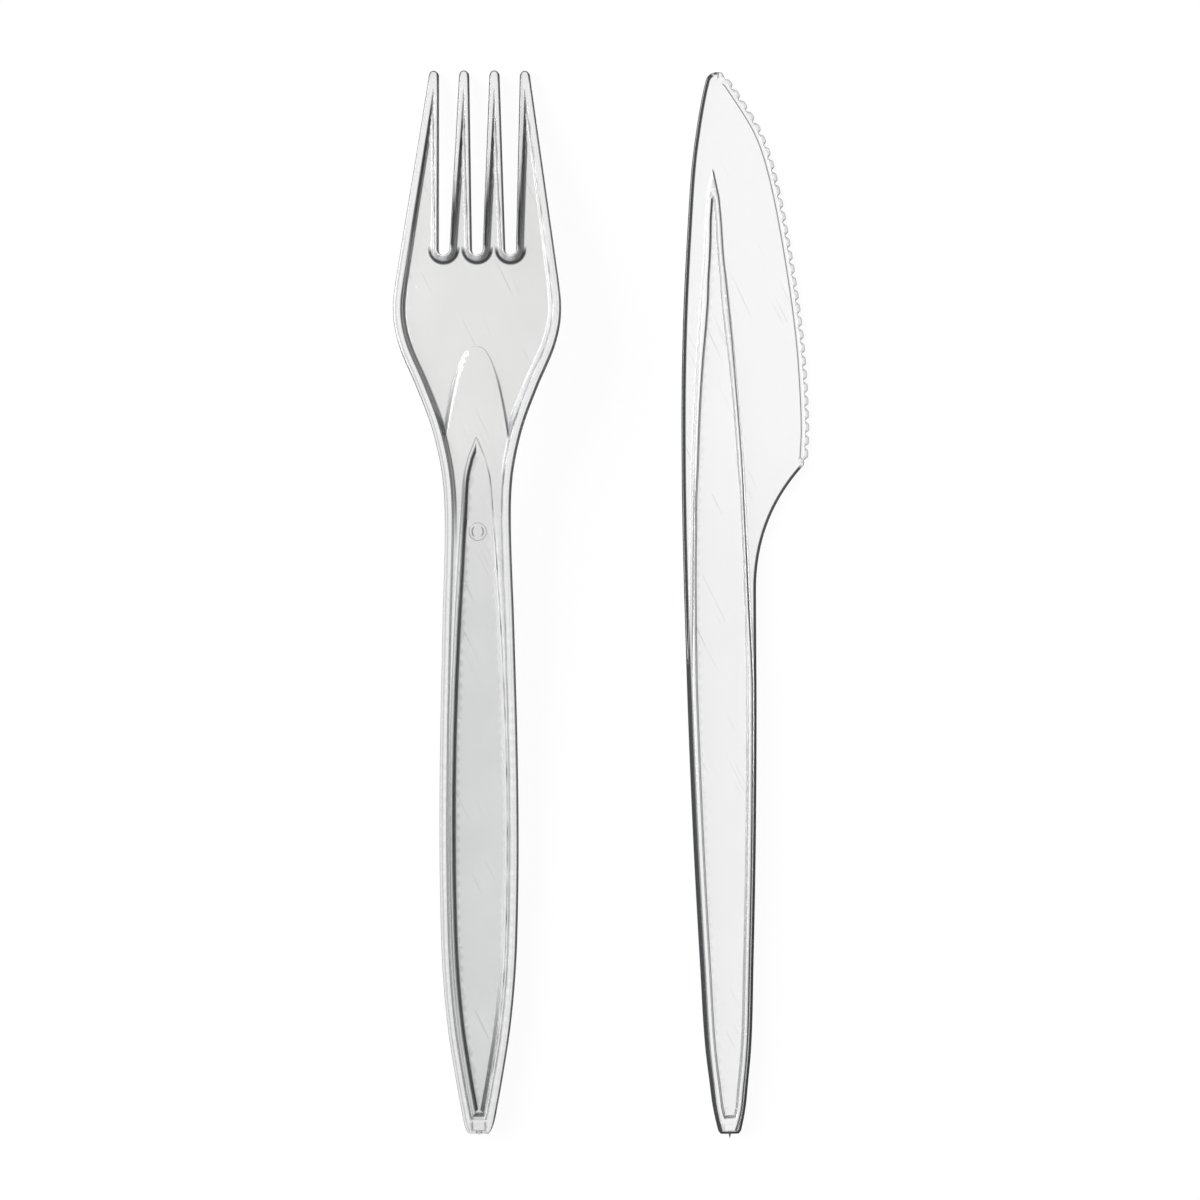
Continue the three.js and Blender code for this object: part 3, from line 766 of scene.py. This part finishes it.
def fork_marks(x, y, z):
    """Where the fork's rim tops keep a near-white colour, its slot crescents and channel shelves are
    painted light, and bands of painted shade lie along its edges, walls, channel, tongue, slots and pin.
    """
    half, recess, tongue, channel = fork_plan()
    edge, edge_left, edge_right = sides(lambda x, y: inside_by(x, y, half), x, y)
    wall, wall_left, wall_right = sides(lambda x, y: inside_by(x, y, recess), x, y)
    trough, trough_left, trough_right = sides(lambda x, y: inside_by(x, y, channel), x, y)
    arch, arch_left, arch_right = sides(lambda x, y: inside_by(x, y, tongue), x, y)
    slot_shade, painted_light_crescent = slot_painted_shade(x, y)
    in_head = smoothstep(y, NECK_AT - 8, NECK_AT + 4)
    on_handle = 1 - in_head
    past_rest = on_handle * smoothstep(y, REST_LENGTH, REST_LENGTH + 20)
    at_tines = smoothstep(y, SLOT_ROOT_AT, SLOT_ROOT_AT + 6)
    at_tips = smoothstep(y, FORK_LENGTH - 3, FORK_LENGTH - 0.6)
    at_points = smoothstep(y, FORK_LENGTH - TINE_SOLID - 6, FORK_LENGTH - TINE_SOLID - 2)
    near_end = smoothstep(-y, -34, -12)
    trough_end = near_end * (1 - trough_left) * (1 - trough_right)
    on_arch = in_head * smoothstep(wall, 0.2, 0.5) * smoothstep(-y, -NECK_AT - 26, -NECK_AT - 20)
    near_pin = np.hypot(x, y - NECK_AT + PIN_BEHIND_NECK)
    pin_sides = smoothstep(np.abs(x), 0.4, 0.8)
    beside_pad = smoothstep(y, 0.4, 0.8) * smoothstep(-y, -3.6, -2.6)

    # Bands of painted shade stand in for the dark lines that bent light and shade give clear plastic. They
    # are heavier where walls face right, away from the lamp on the left.
    smoke = darkest([
        (edge_left * (0.6 + 0.2 * in_head), edge, -1, 0.3),
        (edge_left * (1 - at_tines) * 0.45, edge, 0.5, 0.74),
        (edge_right * (0.9 - 0.25 * past_rest), edge, -1, 0.3),
        (edge_right * (1 - at_tines) * 0.15, edge, 0.5, 0.7),
        (at_tips, edge, -1, 0.36),
        (wall_left * in_head * (0.65 + 0.35 * at_tines), wall, 0, 0.5),
        (wall_left * in_head * 0.9, wall, 0.5, 0.8),
        (wall_left * on_handle * 0.4, wall, -0.12, 0.1),
        (wall_right * (0.7 + 0.3 * in_head) * patchy(y), wall, -0.14, 0.12),
        (at_points * 0.75, wall, 0, 9),
        (trough_left * 0.5, trough, -0.15, 0.02),
        (trough_left, trough, 0.34, 0.98),
        (trough_right * patchy(y), trough, -0.14, 0.1),
        (trough_right * near_end * 0.9, trough, 0.1, 0.95),
        (trough_end * 0.8, trough, -0.1, 0.4),
        (arch_right * on_arch * 0.85, arch, -0.3, 0.02),
        (arch_left * on_arch * 0.5, arch, -0.6, 0.15),
        (0.55, near_pin, PIN_RADIUS - 0.12, PIN_RADIUS + 0.02, 0.05),
        (pin_sides * 0.8, near_pin, PIN_RADIUS * 0.55, PIN_RADIUS * 0.7, 0.05),
        (beside_pad * 0.7, np.abs(x), PAD_WIDTH / 2, PAD_WIDTH / 2 + 0.35),
    ])
    above_face = smoothstep(z - fork_face(x, y), 0.05, 0.35)
    # Painted light: the slot crescents and the shelves beside the handle's channel take the near-white rim
    # colour and lose the painted wall shade, as the rim tops do.
    shelf_left = trough_left * on_handle * band(trough, -0.42, 0.26)
    shelf_right = trough_right * on_handle * band(trough, -0.42, 0.5)
    rim_top = smoothstep(z - fork_face(x, y) - fork_rim(y), -0.5, -0.15)
    return {
        "rim": np.max([rim_top, painted_light_crescent, shelf_left, shelf_right], 0),
        "smoke": np.maximum(smoke, slot_shade) * above_face,
    }


def knife_marks(x, y, z):
    """Where the knife's rib tops keep a near-white colour, and the bands of painted shade along its
    outline, ribs and bevel.
    """
    outline, ribs, channel = knife_plan()
    edge, edge_left, _ = sides(lambda x, y: inside_any(x, y, outline), x, y)
    wall, wall_left, wall_right = sides(lambda x, y: inside_by(x, y, channel), x, y)
    rib, rib_left, rib_right = sides(lambda x, y: inside_by(x, y, ribs), x, y)
    from_teeth = teeth_gap(x, y)
    smooth_edge = smoothstep(from_teeth, 1.2, 1.8)
    toothed = (1 - smooth_edge) * (0.6 + 0.4 * smoothstep(from_teeth, 0.2, 0.6))
    # Bands of painted shade along the knife's outline, bevel, teeth, channel and ribs, heavier where walls
    # face right.
    smoke = darkest([
        (edge_left * smooth_edge, edge, -1, 0.7),
        ((1 - edge_left) * smooth_edge, edge, -1, 0.5),
        (0.85, from_teeth, BEVEL_WIDTH - 0.1, BEVEL_WIDTH + 0.1, 0.06),
        (toothed, edge, -1, 0.1, 0.04),
        (wall_left, wall, -0.36, 0.06),
        (wall_right * 0.65, wall, -0.26, 0),
        (rib_right * 0.95, rib, -0.18, 0.14),
        (rib_left * 0.25, rib, -0.1, 0.1),
    ])
    return {
        "rim": smoothstep(z, PLATE_THICKNESS + 0.5, PLATE_THICKNESS + 1),
        "smoke": smoke * smoothstep(z, 0.02, 0.3),
    }


def knife_moulding():
    outline, ribs, channel = knife_plan()
    top = knife_top(ribs, channel)
    at_edge = np.hypot(outline[:, None, 0] - edge_line[:, 0], outline[:, None, 1] - edge_line[:, 1]).min(1)
    top_edge = np.where(at_edge < TOOTH_DEPTH + 0.1, 0.1, PLATE_EDGE)

    def inside(margin):
        return lambda run: inside_any(run[:, 0], run[:, 1], outline) > margin

    runs = [
        guides(ribs, RIB_RUNS, inside(PLATE_EDGE + 0.03)),
        guides(channel, RIB_CHANNEL_RUNS, inside(PLATE_EDGE + 0.03)),
    ]
    into = -outward(edge_line, False)[1]
    for distance in BEVEL_RUNS:
        run = edge_line[2:-2] + into[2:-2] * distance
        number = np.arange(len(run))
        runs.append((run, np.column_stack([number[:-1], number[1:]])))
    away = outward(outline)[0]
    smooth_edge = at_edge > TOOTH_DEPTH + 0.3
    for distance in BLADE_RUNS:
        run = (outline - away * distance)[smooth_edge]
        number = np.arange(len(run))
        joined = np.hypot(*np.diff(run, axis=0).T) < 2 * ALONG
        runs.append((run, np.column_stack([number[:-1], number[1:]])[joined]))
    points, edges = joined_runs(runs)
    grid = lattice((-8, 0), (17, KNIFE_NECK_AT + 89), ACROSS)
    pad = pad_patch()
    points = np.vstack([points, grid[inside(0.5)(grid)], pad[inside(PLATE_EDGE + 0.03)(pad)]])
    low_points = grid[inside(0.4)(grid)]

    def flat(x, y):
        return np.zeros(len(x))

    made = build(outline, top, flat, 0, PLATE_EDGE / 2, top_edge, low_points, points, edges)
    stub(made, *KNIFE_STUB)
    return made


# Materials
def shader_nodes(owner):
    owner.use_nodes = True
    nodes, links = owner.node_tree.nodes, owner.node_tree.links
    nodes.clear()

    def add(kind, inputs=(), **settings):
        """A node with its settings, and each input a value or another node's output."""
        node = nodes.new("ShaderNode" + kind)
        for name, value in settings.items():
            setattr(node, name, value)
        for name, value in dict(inputs).items():
            if isinstance(value, bpy.types.NodeSocket):
                links.new(value, node.inputs[name])
            else:
                node.inputs[name].default_value = value
        return node.outputs

    return add


def clear_plastic(name, web_handle, web_head, rim_colour, wall_shade_colour, haze, wall_haze):
    """Clear moulded plastic: near-white rims with painted light, a slightly hazy web, duller walls with
    painted shade, and bands of painted shade.
    """
    material = bpy.data.materials.new(name)
    add = shader_nodes(material)
    coords = add("TexCoord")
    upright = add("Math", {0: add("SeparateXYZ", {0: coords["Normal"]})["Z"]}, operation="ABSOLUTE")[0]
    steep = add("MapRange", {"Value": upright, "From Min": WALL_STARTS, "From Max": WALL_FULL})["Result"]
    along = add("SeparateXYZ", {0: coords["Object"]})["Y"]
    at_head = add("MapRange", {"Value": along, "From Min": 0, "From Max": 0.03})["Result"]
    rim = add("Attribute", attribute_name="rim")["Fac"]
    smoke = add("Attribute", attribute_name="smoke")["Fac"]

    def blend(share, one, other):
        return add("Mix", {"Factor": share, 6: one, 7: other}, data_type="RGBA")[2]

    def between(share, one, other):
        return add("MapRange", {"Value": share, "To Min": one, "To Max": other})["Result"]

    # The rim mark lifts most of the painted wall shade.
    steep = add("Math", {0: steep, 1: between(rim, 1, 0.4)}, operation="MULTIPLY")[0]
    cloud = add("TexNoise", {"Vector": coords["Object"], "Scale": 90, "Detail": 3})["Fac"]
    slanted = {"Vector": coords["Object"], "Rotation": (0, 0, SCRATCH_TURN), "Scale": SCRATCH_SIZE}
    across = add("Mapping", slanted, vector_type="TEXTURE")[0]
    streaks = add("TexNoise", {"Vector": across, "Scale": 1, "Detail": 1})["Fac"]
    lines = add("MapRange", {"Value": streaks, "From Min": 0.62, "From Max": 0.72})["Result"]
    scratched = add("MapRange", {"Value": cloud, "From Min": 0.5, "From Max": 0.62})["Result"]
    scratch = add("Math", {0: lines, 1: scratched}, operation="MULTIPLY")[0]
    web = blend(at_head, (*web_handle, 1), (*web_head, 1))
    web = blend(between(cloud, -0.1, 0.3), web, (1, 1, 1, 1))
    web = blend(between(scratch, 0, 0.25), web, (0.1, 0.1, 0.1, 1))
    # Painted shade: steep walls turn to the grey wall colour, and less so where the rim mark lifts it.
    colour = blend(steep, blend(rim, web, (*rim_colour, 1)), (*wall_shade_colour, 1))
    # Painted shade: the bands turn near-black and make the surface duller and less clear.
    colour = blend(smoke, colour, (*PAINTED_SHADE_COLOUR, 1))
    dull = add("Mix", {"Factor": steep, 2: haze, 3: wall_haze}, data_type="FLOAT")[0]
    dull = add("Math", {0: dull, 1: between(smoke, 0, 0.8)}, operation="MAXIMUM")[0]
    clear = between(dull, 1, 0)
    wear = add("TexNoise", {"Vector": coords["Object"], "Scale": 120, "Detail": 4})["Fac"]
    rough = between(wear, 0.02, 0.09)
    ripple = add("Math", {0: wear, 1: between(scratch, 0, -1)}, operation="ADD")[0]
    bump = add("Bump", {"Height": ripple, "Strength": 0.15, "Distance": 0.0001})[0]
    shader = add("BsdfPrincipled", {
        "Base Color": colour, "Transmission Weight": clear, "IOR": POLYSTYRENE_IOR, "Roughness": rough,
        "Normal": bump,
    })
    add("OutputMaterial", {"Surface": shader[0]})
    return material


# The fork's web colours are greyer than the knife's as painted shade. They stand for the table in shade
# under the fork, seen through it.
fork_plastic = clear_plastic(
    "fork_plastic", web_handle=(0.68, 0.69, 0.685), web_head=(0.78, 0.78, 0.775),
    rim_colour=(0.97, 0.97, 0.97), wall_shade_colour=WALL_SHADE_COLOUR, haze=0.06, wall_haze=0.5,
)
knife_plastic = clear_plastic(
    "knife_plastic", web_handle=(0.9, 0.9, 0.9), web_head=(0.95, 0.95, 0.95),
    rim_colour=(0.95, 0.95, 0.95), wall_shade_colour=WALL_SHADE_COLOUR, haze=0.02, wall_haze=0.5,
)

fork_low, fork_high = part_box("fork")
fork_x = (fork_low.x + fork_high.x) / 2 / MM
fork_y = fork_low.y / MM + FORK_STUB[1]

fork = piece("fork_moulding", fork_moulding(), fork_x, fork_y, 0, fork_plastic, fork_marks)
knife = piece("knife_moulding", knife_moulding(), fork_x + PIECE_SPACING, fork_y - KNIFE_SET_BACK,
              math.radians(KNIFE_LEAN), knife_plastic, knife_marks)
for made, node in ((fork, "fork"), (knife, "knife")):
    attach(made, "root")
    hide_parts(node)
    print(node, "triangles", sum(len(p.vertices) - 2 for p in made.data.polygons))


# Floor, light and camera
def floor():
    """White to the camera and through the plastic, with a faint shadow, and darker in reflections."""
    mesh = bpy.data.meshes.new("floor")
    corners = [(x * TABLE_HALF, y * TABLE_HALF, 0) for x, y in ((-1, -1), (1, -1), (1, 1), (-1, 1))]
    mesh.from_pydata(corners, [], [(0, 1, 2, 3)])
    made = bpy.data.objects.new("floor", mesh)
    made.location.z = -TABLE_GAP
    bpy.context.scene.collection.objects.link(made)
    material = bpy.data.materials.new("floor_white")
    mesh.materials.append(material)
    add = shader_nodes(material)
    path = add("LightPath")
    place = add("NewGeometry")["Position"]
    away = add("VectorMath", {0: place}, operation="LENGTH")["Value"]
    near = add("MapRange", {
        "Value": away, "From Min": 0.12, "From Max": 0.3, "To Min": TABLE_NEAR, "To Max": TABLE_FAR,
    })["Result"]
    through = add("Math", {0: path["Is Transmission Ray"], 1: near}, operation="MULTIPLY")[0]
    seen = add("Math", {0: path["Is Camera Ray"], 1: TABLE_SEEN, 2: through}, operation="MULTIPLY_ADD")[0]
    strength = add("Math", {0: path["Is Glossy Ray"], 1: TABLE_GLOSS, 2: seen}, operation="MULTIPLY_ADD")[0]
    glow = add("Emission", {"Strength": strength})[0]
    shade = add("BsdfDiffuse", {"Color": (TABLE_DIFFUSE, TABLE_DIFFUSE, TABLE_DIFFUSE, 1)})[0]
    both = add("AddShader", {0: glow, 1: shade})[0]
    add("OutputMaterial", {"Surface": both})


def world():
    """A soft room, bright overhead, dark low down, and a little lighter on the right."""
    made = bpy.data.worlds.new("studio")
    bpy.context.scene.world = made
    add = shader_nodes(made)
    way = add("SeparateXYZ", {0: add("TexCoord")["Generated"]})

    def brighter(along, start, end, low, high):
        """A level that rises smoothly between two shares of a direction."""
        inputs = {"Value": along, "From Min": start, "From Max": end, "To Min": low, "To Max": high}
        return add("MapRange", inputs, interpolation_type="SMOOTHSTEP")["Result"]

    top = brighter(way["Z"], 0.15, 0.9, 0.02, 0.3)
    right = brighter(way["X"], 0.1, 0.8, 0, 0.3)
    level = add("Math", {0: top, 1: right}, operation="MAXIMUM")[0]
    strength = add("Math", {0: level, 1: add("LightPath")["Is Camera Ray"]}, operation="MAXIMUM")[0]
    add("OutputWorld", {"Surface": add("Background", {"Color": (1, 1, 1, 1), "Strength": strength})[0]})


def lamp(name, place, size, power):
    """A soft square lamp that faces the middle of the table."""
    data = bpy.data.lights.new(name, "AREA")
    data.size = size
    data.energy = power
    made = bpy.data.objects.new(name, data)
    made.location = place
    made.rotation_euler = Vector(place).to_track_quat("Z", "Y").to_euler()
    bpy.context.scene.collection.objects.link(made)


def camera():
    """Straight above, with the photograph's frame at the table."""
    data = bpy.data.cameras.new("camera")
    data.sensor_width = SENSOR
    data.lens = SENSOR * CAMERA_PLACE[2] / FRAME_WIDTH
    data.clip_start = 0.01
    made = bpy.data.objects.new("camera", data)
    made.location = CAMERA_PLACE
    bpy.context.scene.collection.objects.link(made)
    bpy.context.scene.camera = made


floor()
world()
lamp("lamp_left", place=(-0.9, 0.3, 0.6), size=0.9, power=22)
lamp("lamp_right", place=(0.8, -0.2, 0.9), size=0.5, power=1)
camera()
bpy.context.scene.view_settings.view_transform = "Standard"
